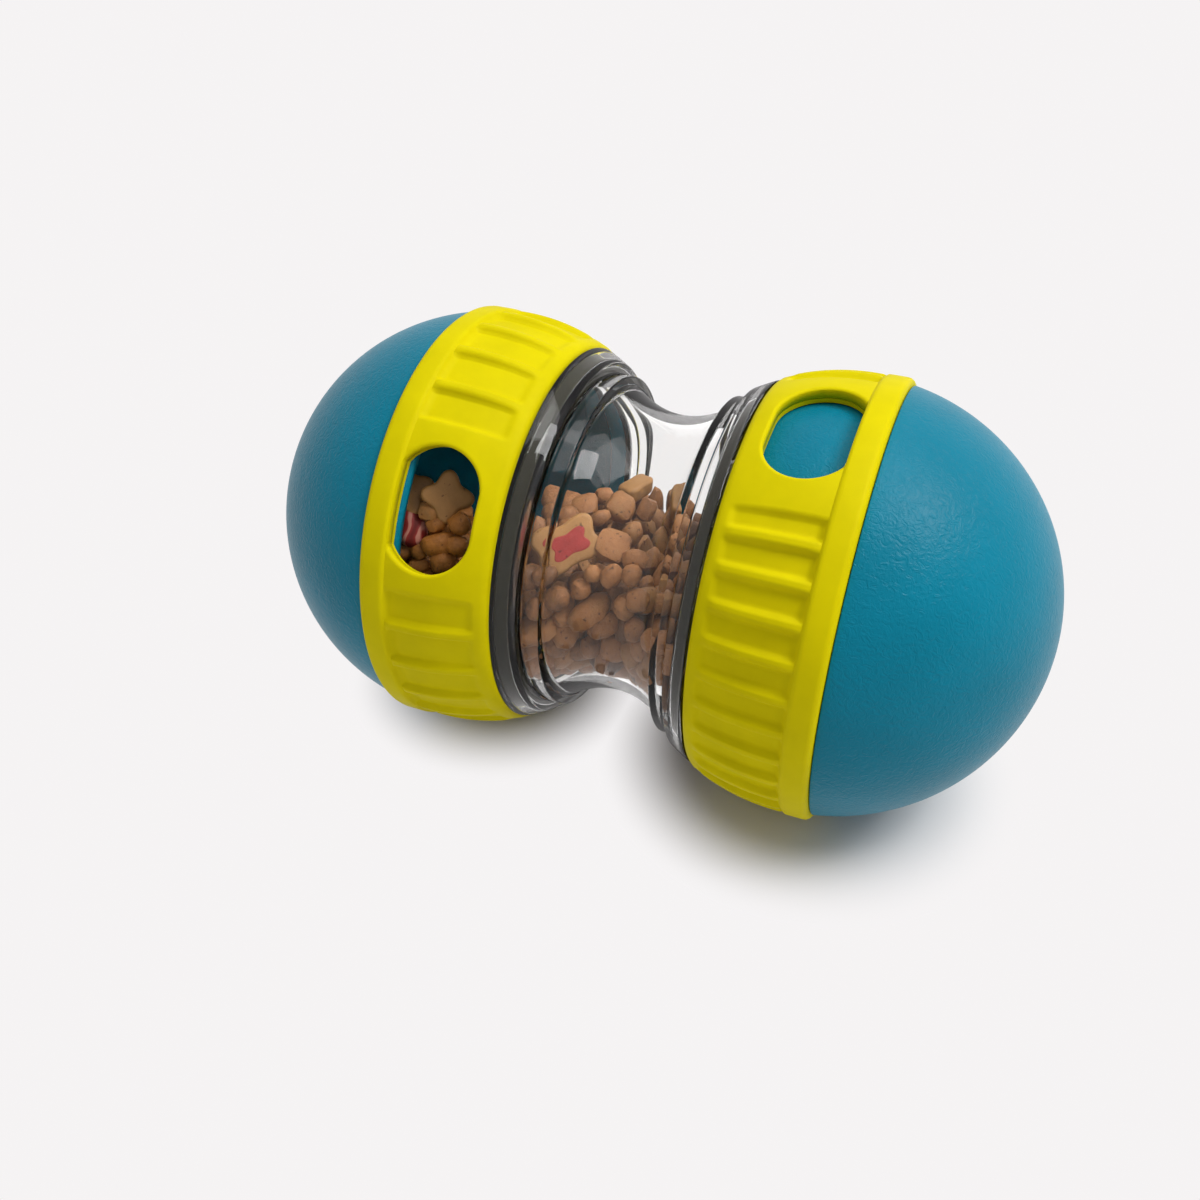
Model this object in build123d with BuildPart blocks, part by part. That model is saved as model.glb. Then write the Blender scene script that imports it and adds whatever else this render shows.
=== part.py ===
from build123d import *
import math
import os

# Rolling treat feeder: a clear hourglass tube with a hollow ball screwed on each end.
# Millimetres and degrees. X runs along the feeder, +Z is up and the floor is Z = 0.
# Angles round the feeder start at the front (-Y) and rise towards the top (+Z).

# Overall form
ball_radius = 49.2
ball_offset = 42.0
collar_reach = 20.0
band_width = 6.0
band_reach = 8.0

# Clearances and overruns
seat_gap = 0.3
running_gap = 0.4
snug_gap = 0.1
cut_overrun = 5.0

# Clear tube
waist_wall = 2.6
flare_rise = 4.6
step_rise = 2.0
step_drop = 2.48
step_width = 4.0
flange_web = 2.4
bore_run = 1.5
skirt_wall = 2.2
skirt_depth = 2.7
neck_wall = 2.4
neck_length = 7.0
tube_edge_bevel = 0.6

# Screw thread between tube and ball
thread_gap = 0.3
mouth_lip = 3.2
mouth_length = 5.1

# Seal ring at the root of each neck
seal_width = 1.8
seal_lip_gap = 0.15
seal_bevel = 0.5

# Dome
dome_wall = 2.5
dome_web = 2.0
dome_edge_bevel = 0.5

# Port sleeve
sleeve_wall = 2.0
shoulder_depth = 2.3
spigot_length = 4.4
bead_height = 0.8
port_start = 15.0
port_arc = 38.0
port_margin = 1.3
port_corner = 4.0

# Hard ring under the collar
gate_ring_wall = 1.0

# Soft collar
collar_proud = 0.4
collar_wall = 2.6
collar_edge_bevel = 0.8
band_rise = 0.4
band_edge_bevel = 1.0
panel_depth = 0.8
panel_count = 28
panel_share = 0.65
panel_start = 16.5
pad_arc = 46.0

# Outlet window in collar and hard ring
window_length = 27.0
window_width = 18.5
window_middle = 6.0
right_window_angle = 78.0
left_window_angle = 35.5

# Travel of the collar between open and shut, and its stop
gate_travel = 52.0
stop_peg_arc = 6.0
stop_peg_length = 2.2
stop_angle_from_port = 98.0

# Treats
kibble_radius = 5.6
kibble_thickness = 9.0
kibble_gap = 0.3
tube_heap_level = 8.0
ball_heap_level = -5.0
ball_heap_tilt = 30.0
biscuit_thickness = 5.0
biscuit_length = 15.0
biscuit_knob = 3.0
biscuit_shank = 2.3
tube_biscuit_shares = ((-0.36, -0.4), (0.02, 0.1), (0.38, -0.3))
ball_biscuit_shares = ((0.9, -0.42), (1.05, 0.25))
biscuit_turns = (25, 80, -30)

SIDES = (("right", 1), ("left", -1))
window_angles = {"right": right_window_angle, "left": left_window_angle}
# The right outlet is shut and the left one is open, so the right port lies a full travel away.
port_angles = {"right": right_window_angle + gate_travel, "left": left_window_angle}


def ball_height(radius, x):
    """Distance from the roll axis of a sphere about the ball's middle, at x along the feeder."""
    return math.sqrt(radius**2 - (x - ball_offset) ** 2)


# Radii of the ball, each fitted to the piece outside it
collar_radius = ball_radius + collar_proud
band_radius = collar_radius + band_rise
collar_bore = collar_radius - collar_wall
ring_radius = collar_bore - snug_gap
ring_bore = ring_radius - gate_ring_wall
sleeve_radius = ring_bore - seat_gap
sleeve_bore = sleeve_radius - sleeve_wall
spigot_radius = sleeve_radius - shoulder_depth

# Places along the feeder, measured from its middle
band_end = ball_offset + band_reach
band_start = band_end - band_width
collar_start = ball_offset - collar_reach
flange_end = collar_start - running_gap
web_end = flange_end - skirt_depth
step_end = web_end - flange_web
flare_reach = step_end - step_width
bore_flare_reach = flare_reach + bore_run
neck_end = web_end + neck_length
seal_start = web_end + snug_gap
seal_end = seal_start + seal_width
lip_end = flange_end - snug_gap
mouth_start = seal_end + snug_gap
mouth_end = mouth_start + mouth_length
dome_start = band_end + running_gap
spigot_end = dome_start + spigot_length

# Radii of the tube, of the screwed mouth and of the seal's lip between skirt and sleeve
mouth_bore = ball_height(sleeve_radius, mouth_start) - mouth_lip
neck_radius = mouth_bore - thread_gap
neck_bore = neck_radius - neck_wall
step_radius = ball_height(ball_radius, step_end) - step_drop
flare_radius = step_radius - step_rise
waist_radius = flare_radius - flare_rise
waist_bore = waist_radius - waist_wall
skirt_bore = ball_radius - skirt_wall
lip_radius = skirt_bore - seal_lip_gap
lip_bore = sleeve_radius + seal_lip_gap

axis_height = band_radius
roll_axis = Axis((0, 0, axis_height), (1, 0, 0))
centre = Vector(0, 0, axis_height)


def profile_plane(side):
    """Plane through the roll axis: local x runs from the middle to this end, local y is up."""
    return Plane(origin=centre, x_dir=(side, 0, 0), z_dir=(0, -side, 0))


def outward(angle):
    """Unit vector away from the roll axis at this angle round the feeder."""
    return Vector(0, -math.cos(math.radians(angle)), math.sin(math.radians(angle)))


def round_plane(side, angle):
    """Plane through the roll axis, square to the radius at this angle round the feeder."""
    return Plane(origin=centre, x_dir=(side, 0, 0), z_dir=outward(angle))


def turned_plane(side, angle):
    """Profile plane turned about the roll axis, so that its local y points at this angle."""
    across = Vector(side, 0, 0).cross(outward(angle))
    return Plane(origin=centre, x_dir=(side, 0, 0), z_dir=across)


def window_outline():
    """Rounded slot of the outlet, to be truncated by the band."""
    with Locations((ball_offset - window_middle, 0)):
        SlotOverall(window_length, window_width, rotation=90)


# Clear tube: hourglass wall, stepped flange, skirt in line with the ball, and threaded necks
with BuildPart() as clear_tube:
    with BuildSketch(profile_plane(1)):
        with BuildLine():
            waist = ThreePointArc(
                (-flare_reach, flare_radius), (0, waist_radius), (flare_reach, flare_radius)
            )
            right_steps = Polyline(
                (flare_reach, flare_radius),
                (flare_reach, step_radius),
                (step_end, step_radius),
                (step_end, ball_height(ball_radius, step_end)),
            )
            right_skirt = RadiusArc(
                (step_end, ball_height(ball_radius, step_end)),
                (flange_end, ball_height(ball_radius, flange_end)),
                ball_radius,
            )
            right_inner = Polyline(
                (flange_end, ball_height(ball_radius, flange_end)),
                (flange_end, ball_height(skirt_bore, flange_end)),
                (web_end, ball_height(skirt_bore, web_end)),
                (web_end, neck_radius),
                (neck_end, neck_radius),
                (neck_end, neck_bore),
                (bore_flare_reach, neck_bore),
            )
            mirror(right_steps, about=Plane.YZ)
            mirror(right_skirt, about=Plane.YZ)
            mirror(right_inner, about=Plane.YZ)
            bore = ThreePointArc(
                (-bore_flare_reach, neck_bore), (0, waist_bore), (bore_flare_reach, neck_bore)
            )
        make_face()
    revolve(axis=roll_axis)
    outer_edges = clear_tube.edges().filter_by(GeomType.CIRCLE).filter_by(
        lambda edge: edge.radius > (step_radius - tube_edge_bevel)
        and abs(abs(edge.arc_center.X) - web_end) > tube_edge_bevel
    )
    chamfer(outer_edges, tube_edge_bevel)
solids = {"clear_tube": clear_tube.part}

for name, side in SIDES:
    # Seal ring between the tube's flange and the sleeve's mouth, with a lip over the mouth's edge
    with BuildPart() as seal_ring:
        with BuildSketch(profile_plane(side)) as seal_section:
            with BuildLine():
                RadiusArc(
                    (seal_start, ball_height(lip_radius, seal_start)),
                    (lip_end, ball_height(lip_radius, lip_end)),
                    lip_radius,
                )
                Line(
                    (lip_end, ball_height(lip_radius, lip_end)),
                    (lip_end, ball_height(lip_bore, lip_end)),
                )
                RadiusArc(
                    (seal_end, ball_height(lip_bore, seal_end)),
                    (lip_end, ball_height(lip_bore, lip_end)),
                    lip_bore,
                )
                Polyline(
                    (seal_end, ball_height(lip_bore, seal_end)),
                    (seal_end, mouth_bore),
                    (seal_start, mouth_bore),
                    (seal_start, ball_height(lip_radius, seal_start)),
                )
            make_face()
            chamfer(seal_section.vertices().group_by(Axis.Y)[0], seal_bevel)
        revolve(axis=roll_axis)
    solids[f"{name}_seal_ring"] = seal_ring.part

    # Port sleeve: threaded mouth, round wall under the collar, and a spigot that snaps in the dome
    with BuildPart() as sleeve:
        shoulder_start = band_end - sleeve_wall
        with BuildSketch(profile_plane(side)):
            with BuildLine():
                Polyline(
                    (mouth_end, ball_height(sleeve_bore, mouth_end)),
                    (mouth_end, mouth_bore),
                    (mouth_start, mouth_bore),
                    (mouth_start, ball_height(sleeve_radius, mouth_start)),
                )
                RadiusArc(
                    (mouth_start, ball_height(sleeve_radius, mouth_start)),
                    (ball_offset, sleeve_radius),
                    sleeve_radius,
                )
                Polyline(
                    (ball_offset, sleeve_radius),
                    (band_end, sleeve_radius),
                    (band_end, spigot_radius),
                    (dome_start + dome_web + seat_gap, spigot_radius),
                    (dome_start + dome_web + seat_gap, spigot_radius + bead_height),
                    (spigot_end, spigot_radius),
                    (spigot_end, spigot_radius - sleeve_wall),
                    (shoulder_start, spigot_radius - sleeve_wall),
                    (shoulder_start, sleeve_bore),
                    (ball_offset, sleeve_bore),
                )
                RadiusArc(
                    (mouth_end, ball_height(sleeve_bore, mouth_end)),
                    (ball_offset, sleeve_bore),
                    sleeve_bore,
                )
            make_face()
        revolve(axis=roll_axis)
        # Outlet port
        port_low = ball_offset - port_start
        port_high = band_start - port_margin
        port_chord = 2 * sleeve_radius * math.sin(math.radians(port_arc / 2))
        with BuildSketch(round_plane(side, port_angles[name])):
            with Locations(((port_low + port_high) / 2, 0)):
                RectangleRounded(port_high - port_low, port_chord, port_corner)
        extrude(amount=band_radius, mode=Mode.SUBTRACT)
        # Stop peg, an arc of rib just inside the band
        stop_angle = port_angles[name] + side * stop_angle_from_port
        peg_outline = (
            (band_end - stop_peg_length, sleeve_radius - sleeve_wall / 2),
            (band_end, sleeve_radius - sleeve_wall / 2),
            (band_end, ring_radius - snug_gap),
            (band_end - stop_peg_length, ring_radius - snug_gap),
        )
        with BuildSketch(turned_plane(side, stop_angle + stop_peg_arc / 2)):
            with BuildLine():
                Polyline(*peg_outline, close=True)
            make_face()
        revolve(axis=roll_axis, revolution_arc=stop_peg_arc)
    solids[f"{name}_sleeve"] = sleeve.part

    # Dome with its inner web, which sits on the sleeve's shoulder and snaps over the bead
    with BuildPart() as dome:
        inner_radius = ball_radius - dome_wall
        web_inner = dome_start + dome_web
        with BuildSketch(profile_plane(side)) as dome_section:
            with BuildLine():
                RadiusArc(
                    (dome_start, ball_height(ball_radius, dome_start)),
                    (ball_offset + ball_radius, 0),
                    ball_radius,
                )
                Line((ball_offset + ball_radius, 0), (ball_offset + inner_radius, 0))
                RadiusArc(
                    (web_inner, ball_height(inner_radius, web_inner)),
                    (ball_offset + inner_radius, 0),
                    inner_radius,
                )
                Polyline(
                    (web_inner, ball_height(inner_radius, web_inner)),
                    (web_inner, spigot_radius + seat_gap),
                    (dome_start, spigot_radius + seat_gap),
                    (dome_start, ball_height(ball_radius, dome_start)),
                )
            make_face()
            rim = (dome_start, ball_height(ball_radius, dome_start), 0)
            chamfer(dome_section.vertices().sort_by_distance(rim)[0], dome_edge_bevel)
        revolve(axis=roll_axis)
    solids[f"{name}_dome"] = dome.part

    # Hard ring that carries the collar, with the outlet window and the notch for the stop peg
    with BuildPart() as gate_ring:
        with BuildSketch(profile_plane(side)):
            with BuildLine():
                RadiusArc(
                    (collar_start, ball_height(ring_bore, collar_start)),
                    (ball_offset, ring_bore),
                    ring_bore,
                )
                Polyline(
                    (ball_offset, ring_bore),
                    (band_end, ring_bore),
                    (band_end, ring_radius),
                    (ball_offset, ring_radius),
                )
                RadiusArc(
                    (collar_start, ball_height(ring_radius, collar_start)),
                    (ball_offset, ring_radius),
                    ring_radius,
                )
                Line(
                    (collar_start, ball_height(ring_radius, collar_start)),
                    (collar_start, ball_height(ring_bore, collar_start)),
                )
            make_face()
        revolve(axis=roll_axis)
        with BuildSketch(round_plane(side, window_angles[name])):
            window_outline()
        extrude(amount=band_radius, mode=Mode.SUBTRACT)
        with BuildSketch(profile_plane(side)):
            with BuildLine():
                Polyline(
                    (band_start, ring_bore),
                    (band_end, ring_bore),
                    (band_end, ring_radius),
                    (band_start, ring_radius),
                    close=True,
                )
            make_face()
        revolve(axis=roll_axis)
        notch_gap = math.degrees(seat_gap / ring_bore)
        notch_arc = gate_travel + stop_peg_arc + 2 * notch_gap
        notch_middle = window_angles[name] + side * (stop_angle_from_port + gate_travel / 2)
        with BuildSketch(turned_plane(side, notch_middle + notch_arc / 2)):
            with BuildLine():
                Polyline(
                    (band_end - stop_peg_length - seat_gap, ring_bore - snug_gap),
                    (band_end + cut_overrun, ring_bore - snug_gap),
                    (band_end + cut_overrun, ring_radius + snug_gap),
                    (band_end - stop_peg_length - seat_gap, ring_radius + snug_gap),
                    close=True,
                )
            make_face()
        revolve(axis=roll_axis, revolution_arc=notch_arc, mode=Mode.SUBTRACT)
    solids[f"{name}_gate_ring"] = gate_ring.part

    # Soft collar: ribbed grip with a smooth pad round the window, and the raised rim band
    with BuildPart() as collar:
        with BuildSketch(profile_plane(side)) as collar_section:
            with BuildLine():
                RadiusArc(
                    (collar_start, ball_height(collar_bore, collar_start)),
                    (ball_offset, collar_bore),
                    collar_bore,
                )
                Polyline(
                    (ball_offset, collar_bore),
                    (band_end - band_edge_bevel, collar_bore),
                    (band_end - band_edge_bevel, ball_height(collar_radius, band_end)),
                    (ball_offset, collar_radius),
                )
                RadiusArc(
                    (collar_start, ball_height(collar_radius, collar_start)),
                    (ball_offset, collar_radius),
                    collar_radius,
                )
                Line(
                    (collar_start, ball_height(collar_radius, collar_start)),
                    (collar_start, ball_height(collar_bore, collar_start)),
                )
            make_face()
            tube_edge = (collar_start, ball_height(collar_radius, collar_start), 0)
            chamfer(collar_section.vertices().sort_by_distance(tube_edge)[0], collar_edge_bevel)
        revolve(axis=roll_axis)
        # Recessed panels between the ribs, running out towards the tube
        panel_pitch = 360 / panel_count
        panels = math.floor((360 - pad_arc) / panel_pitch)
        panel_out = ball_offset - panel_start
        panel_mid = (panel_out + band_start) / 2
        floor_radius = collar_radius - panel_depth
        panel_arc = panel_pitch * panel_share
        for index in range(panels):
            offset = (index - (panels - 1) / 2) * panel_pitch
            middle = window_angles[name] + 180 + offset
            with BuildSketch(turned_plane(side, middle + panel_arc / 2)):
                with BuildLine():
                    Polyline(
                        (panel_out, ball_height(collar_radius, panel_out)),
                        (panel_mid, ball_height(floor_radius, panel_mid)),
                        (band_start, ball_height(floor_radius, band_start)),
                        (band_start, collar_radius + cut_overrun),
                        (panel_out, collar_radius + cut_overrun),
                        close=True,
                    )
                make_face()
            revolve(axis=roll_axis, revolution_arc=panel_arc, mode=Mode.SUBTRACT)
        with BuildSketch(round_plane(side, window_angles[name])):
            window_outline()
        extrude(amount=2 * band_radius, mode=Mode.SUBTRACT)
        # Raised band that the feeder rolls on
        with BuildSketch(profile_plane(side)) as band_section:
            with Locations(
                ((band_start + band_end) / 2, (collar_bore + band_radius) / 2)
            ):
                Rectangle(band_width, band_radius - collar_bore)
            chamfer(band_section.vertices().group_by(Axis.Y)[-1], band_edge_bevel)
        revolve(axis=roll_axis)
    solids[f"{name}_collar"] = collar.part


def chamber_radius(x):
    """Inner radius of the feeder at a distance x from its middle."""
    reach = abs(x)
    rise = neck_bore - waist_bore
    arc_radius = (bore_flare_reach**2 + rise**2) / (2 * rise)
    if reach < bore_flare_reach:
        return waist_bore + arc_radius - math.sqrt(arc_radius**2 - reach**2)
    if reach < mouth_end:
        return neck_bore
    if reach < ball_offset:
        return ball_height(sleeve_bore, reach)
    if reach < band_end - sleeve_wall:
        return sleeve_bore
    if reach < spigot_end + seat_gap:
        return spigot_radius - sleeve_wall
    if reach < ball_offset + ball_radius - dome_wall:
        return ball_height(ball_radius - dome_wall, reach)
    return 0


def heap_foot(floor_radius):
    """Height over the roll axis of the lowest treat, which lies on a wall of this radius."""
    return -math.sqrt((floor_radius - kibble_gap) ** 2 - kibble_radius**2)


def heap_courses(floor_radius, level):
    """Number of courses that stay under the heap's level."""
    return math.floor((level - heap_foot(floor_radius)) / (kibble_thickness + kibble_gap))


def heap_top(floor_radius, level):
    """Height over the roll axis of a course that would lie on the heap."""
    rise = heap_courses(floor_radius, level) * (kibble_thickness + kibble_gap)
    return heap_foot(floor_radius) + rise


def heap_places(low, high, floor_radius, level):
    """Places of treats lying flat, side by side, between two distances along the feeder."""
    across = kibble_radius * math.sqrt(3)
    pitch = across + kibble_gap
    row_pitch = pitch * math.sqrt(3) / 2
    rows = math.ceil(band_radius / row_pitch)
    columns = math.ceil((high - low) / pitch)
    places = []
    for course in range(heap_courses(floor_radius, level)):
        foot = heap_foot(floor_radius) + course * (kibble_thickness + kibble_gap)
        depth = max(abs(foot), abs(foot + kibble_thickness))
        for row in range(-rows, rows + 1):
            reach = math.hypot(abs(row * row_pitch) + kibble_radius, depth)
            start = low + (across + (row + course) % 2 * pitch) / 2
            for column in range(columns):
                x = start + column * pitch
                room = min(chamber_radius(x + side * across / 2) for side in (-1, 0, 1))
                if x + across / 2 <= high and reach <= room - kibble_gap:
                    places.append((x, row * row_pitch, foot))
    return places


def mirrored(places):
    """The same places at the other end of the feeder."""
    return [(-x, y, z) for x, y, z in places]


def heap_frame(tilt):
    """Frame on the roll axis in which a heap lies level, turned so that its front is high."""
    return Location(centre, (-tilt, 0, 0))


# Pressed treats, six-sided, with a flat side towards each end of the feeder
with BuildPart() as treat:
    with BuildSketch():
        RegularPolygon(kibble_radius, 6, rotation=30)
    extrude(amount=kibble_thickness)

tube_places = heap_places(-neck_end, neck_end, waist_bore, tube_heap_level)
ball_end = ball_offset + ball_radius
ball_places = heap_places(neck_end + kibble_gap, ball_end, sleeve_bore, ball_heap_level)
treat_groups = {
    "tube_treats": (0, tube_places),
    "right_treats": (ball_heap_tilt, ball_places),
    "left_treats": (ball_heap_tilt, mirrored(ball_places)),
}
for name, (tilt, places) in treat_groups.items():
    with BuildPart() as treats:
        with Locations(heap_frame(tilt)):
            with Locations(*places):
                add(treat.part)
    solids[name] = treats.part

# Bone-shaped biscuits lying on the heap
with BuildPart() as biscuit:
    with BuildSketch():
        Rectangle(biscuit_length - 2 * biscuit_knob, 2 * biscuit_shank)
        with GridLocations(
            biscuit_length - 2 * biscuit_knob, 2 * biscuit_knob - biscuit_shank, 2, 2
        ):
            Circle(biscuit_knob)
    extrude(amount=biscuit_thickness)

tube_top = heap_top(waist_bore, tube_heap_level)
ball_top = heap_top(sleeve_bore, ball_heap_level)
biscuit_groups = {
    "tube_biscuits": (1, 0, tube_top, tube_biscuit_shares),
    "left_biscuits": (-1, ball_heap_tilt, ball_top, ball_biscuit_shares),
}
for name, (side, tilt, top, shares) in biscuit_groups.items():
    places = [
        Location((side * x * ball_offset, y * ball_offset, top), (0, 0, turn))
        for (x, y), turn in zip(shares, biscuit_turns)
    ]
    with BuildPart() as biscuits:
        with Locations(heap_frame(tilt)):
            with Locations(*places):
                add(biscuit.part)
    solids[name] = biscuits.part

os.makedirs("parts", exist_ok=True)
for name, solid in solids.items():
    solid.label = name
    export_step(solid, f"parts/{name}.step")
    print(name, "solids", len(solid.solids()), "volume", round(solid.volume))
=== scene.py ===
"""Rolling treat feeder: a clear hourglass tube, two blue balls and two turning collars."""

import math

import bmesh
import bpy
import numpy as np
from bpy.props import FloatProperty, FloatVectorProperty, IntProperty, PointerProperty
from mathutils import Matrix, Vector, noise


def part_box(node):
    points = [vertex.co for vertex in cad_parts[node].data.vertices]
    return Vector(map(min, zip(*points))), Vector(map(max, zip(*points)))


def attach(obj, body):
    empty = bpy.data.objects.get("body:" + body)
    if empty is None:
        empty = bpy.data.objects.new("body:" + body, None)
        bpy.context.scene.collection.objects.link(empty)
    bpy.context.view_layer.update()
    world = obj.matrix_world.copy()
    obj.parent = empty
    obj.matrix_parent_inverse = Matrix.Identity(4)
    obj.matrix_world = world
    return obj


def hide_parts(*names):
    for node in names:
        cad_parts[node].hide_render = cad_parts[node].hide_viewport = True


bl_info = {
    "name": "Rolling treat feeder",
    "version": (1, 0, 0),
    "blender": (4, 5, 0),
    "location": "View3D > Sidebar > Feeder",
    "description": "Dresses the packed frame of a rolling treat feeder",
    "category": "Object",
}

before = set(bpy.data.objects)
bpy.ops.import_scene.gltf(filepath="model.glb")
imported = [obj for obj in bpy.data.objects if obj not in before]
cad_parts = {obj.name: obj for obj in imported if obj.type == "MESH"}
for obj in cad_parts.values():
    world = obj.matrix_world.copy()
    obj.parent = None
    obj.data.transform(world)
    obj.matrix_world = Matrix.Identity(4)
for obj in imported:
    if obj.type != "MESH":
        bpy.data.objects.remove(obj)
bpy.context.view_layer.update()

MM = 0.001
TURN = 2 * math.pi

# The roll axis runs along X at this height, and each ball's middle lies this far along it
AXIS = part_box("clear_tube")[0][2] * 0.5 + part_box("clear_tube")[1][2] * 0.5
BALL_OFFSET = 0.042
SIDES = (("right", 1), ("left", -1))

# Where each window and each port looks, in degrees from the front (-Y) towards the top
WINDOW_ANGLES = {"right": 78.0, "left": 35.5}
PORT_ANGLES = {"right": 130.0, "left": 35.5}

# Half of the smooth pad round each window, in degrees
PAD_ANGLES = {"right": 24.5, "left": 21.5}

# Bores that the treats fill: the tube's waist and necks, the sleeves, their spigots and the domes
WAIST_BORE = 30.4 * MM
BORE_FLARE = 14 * MM
NECK_BORE = 34.5 * MM
SLEEVE_BORE = 43.6 * MM
SPIGOT_BORE = 41.3 * MM
DOME_BORE = 46.7 * MM

# The photograph's view: degrees round from the front and above the floor, the camera's distance, the
# shift of its aim, its lens and sensor, and the width of the picture in pixels
VIEW_AZIMUTH = 21.655
VIEW_ELEVATION = 38.05
VIEW_DISTANCE = 0.28425
AIM_ACROSS = -0.012835
AIM_ABOVE = -0.010805
LENS = 36.23
SENSOR = 36.0
PHOTO_WIDTH = 1200

LATHE_STEPS = 256
COLLAR_STEPS = 560
SHARP_ANGLE = math.radians(32)


class FeederSizes(bpy.types.PropertyGroup):
    """Sizes of the feeder that can be changed."""

    ball_radius: FloatProperty(
        name="Ball radius", description="Outer radius of the blue domes", default=0.0492, unit="LENGTH"
    )
    collar_radius: FloatProperty(
        name="Collar radius", description="Radius of the collar's ribs", default=0.04945, unit="LENGTH"
    )
    band_radius: FloatProperty(
        name="Band radius", description="Radius of the raised band", default=0.05, unit="LENGTH"
    )
    left_ribs: IntProperty(
        name="Left ribs", description="Ribs in a full turn of the left collar", default=28
    )
    right_ribs: IntProperty(
        name="Right ribs", description="Ribs in a full turn of the right collar", default=40
    )
    rib_width: FloatProperty(
        name="Rib width", description="Width of a rib's rounded top", default=0.0016, unit="LENGTH"
    )
    panel_depth: FloatProperty(
        name="Panel depth", description="Depth of the panels between ribs", default=0.0011, unit="LENGTH"
    )
    window_length: FloatProperty(
        name="Window length", description="Window's length round the collar", default=0.027, unit="LENGTH"
    )
    window_width: FloatProperty(
        name="Window width", description="Window's full width, before the band", default=0.0185,
        unit="LENGTH",
    )
    waist_radius: FloatProperty(
        name="Waist radius", description="Outer radius of the tube's waist", default=0.033, unit="LENGTH"
    )
    treat_level: FloatProperty(
        name="Treat level", description="Height of the tube's heap over the roll axis", default=0.008,
        unit="LENGTH",
    )
    heap_tilt: FloatProperty(
        name="Heap tilt", description="Slope of the heaps in the balls, high at the front", default=35.0
    )
    tube_tilt: FloatProperty(
        name="Tube heap tilt", description="Slope of the tube's heap, high at the front", default=9.0
    )


class FeederColours(bpy.types.PropertyGroup):
    """Colours of the feeder that can be changed, in linear values."""

    blue: FloatVectorProperty(
        name="Blue plastic", description="Domes and sleeves", subtype="COLOR", default=(0.0, 0.175, 0.265)
    )
    yellow: FloatVectorProperty(
        name="Yellow rubber", description="Collars", subtype="COLOR", default=(0.64, 0.545, 0.001)
    )
    kibble: FloatVectorProperty(
        name="Kibble", description="Brown treats of the tube", subtype="COLOR", default=(0.31, 0.128, 0.041)
    )
    warm_kibble: FloatVectorProperty(
        name="Warm kibble", description="Brown treats of the balls", subtype="COLOR",
        default=(0.4, 0.15, 0.03),
    )
    biscuit: FloatVectorProperty(
        name="Biscuit", description="Pale treats", subtype="COLOR", default=(0.33, 0.165, 0.055)
    )
    filling: FloatVectorProperty(
        name="Filling", description="Red filling", subtype="COLOR", default=(0.3, 0.03, 0.025)
    )


def sizes():
    """The sizes in use."""
    return bpy.context.scene.feeder_sizes


def colours():
    """The colours in use."""
    return bpy.context.scene.feeder_colours


# Geometry


def view_axes():
    """The photograph's view: unit vectors to its right, up and towards the camera."""
    azimuth, elevation = math.radians(VIEW_AZIMUTH), math.radians(VIEW_ELEVATION)
    toward = Vector((
        math.sin(azimuth) * math.cos(elevation),
        -math.cos(azimuth) * math.cos(elevation),
        math.sin(elevation),
    ))
    right = Vector((math.cos(azimuth), math.sin(azimuth), 0))
    return right, right.cross(-toward), toward


def camera_place():
    """Where the photograph's camera stands."""
    right, up, toward = view_axes()
    aim = Vector((0, 0, AXIS)) + right * AIM_ACROSS + up * AIM_ABOVE
    return aim + toward * VIEW_DISTANCE


def sight(across, down):
    """Direction in which the camera looks at a pixel of the photograph."""
    right, up, toward = view_axes()
    middle = PHOTO_WIDTH / 2
    line = right * (across - middle) - up * (down - middle) - toward * PHOTO_WIDTH * LENS / SENSOR
    return line.normalized()


def ball_height(radius, x):
    """Distance from the roll axis of a sphere about a ball's middle, at x from the feeder's middle."""
    return math.sqrt(max(radius**2 - (x - BALL_OFFSET) ** 2, 0))


def ball_arc(radius, low, high, count):
    """Points (x, height) of such a sphere between two distances, evenly spaced round it."""
    first = math.acos(min((low - BALL_OFFSET) / radius, 1))
    last = math.acos(min((high - BALL_OFFSET) / radius, 1))
    angles = [first + (last - first) * step / count for step in range(count + 1)]
    return [(BALL_OFFSET + radius * math.cos(a), radius * math.sin(a)) for a in angles]


def lathe(profile, closed=True, steps=LATHE_STEPS):
    """Turns a profile of points (x, distance from the axis) round the roll axis."""
    bm = bmesh.new()
    points = [bm.verts.new((x, 0, AXIS + height)) for x, height in profile]
    edges = [bm.edges.new(pair) for pair in zip(points, points[1:])]
    if closed:
        edges.append(bm.edges.new((points[-1], points[0])))
    bmesh.ops.spin(
        bm, geom=points + edges, cent=(0, 0, AXIS), axis=(1, 0, 0), dvec=(0, 0, 0),
        angle=TURN, steps=steps, use_merge=True, use_normal_flip=False, use_duplicate=False,
    )
    bmesh.ops.remove_doubles(bm, verts=bm.verts, dist=0.002 * MM)
    bmesh.ops.recalc_face_normals(bm, faces=bm.faces)
    return bm


def mirrored(profile, side):
    """The profile at the chosen end of the feeder."""
    return [(side * x, height) for x, height in profile]


def round_edges(bm, width, least):
    """Bevels every edge that turns by more than the least angle."""
    sharp = [e for e in bm.edges if len(e.link_faces) == 2 and e.calc_face_angle(0) > least]
    bmesh.ops.bevel(
        bm, geom=sharp, offset=width, offset_type="OFFSET", segments=3, profile=0.5,
        affect="EDGES", clamp_overlap=True, material=-1,
    )


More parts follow.
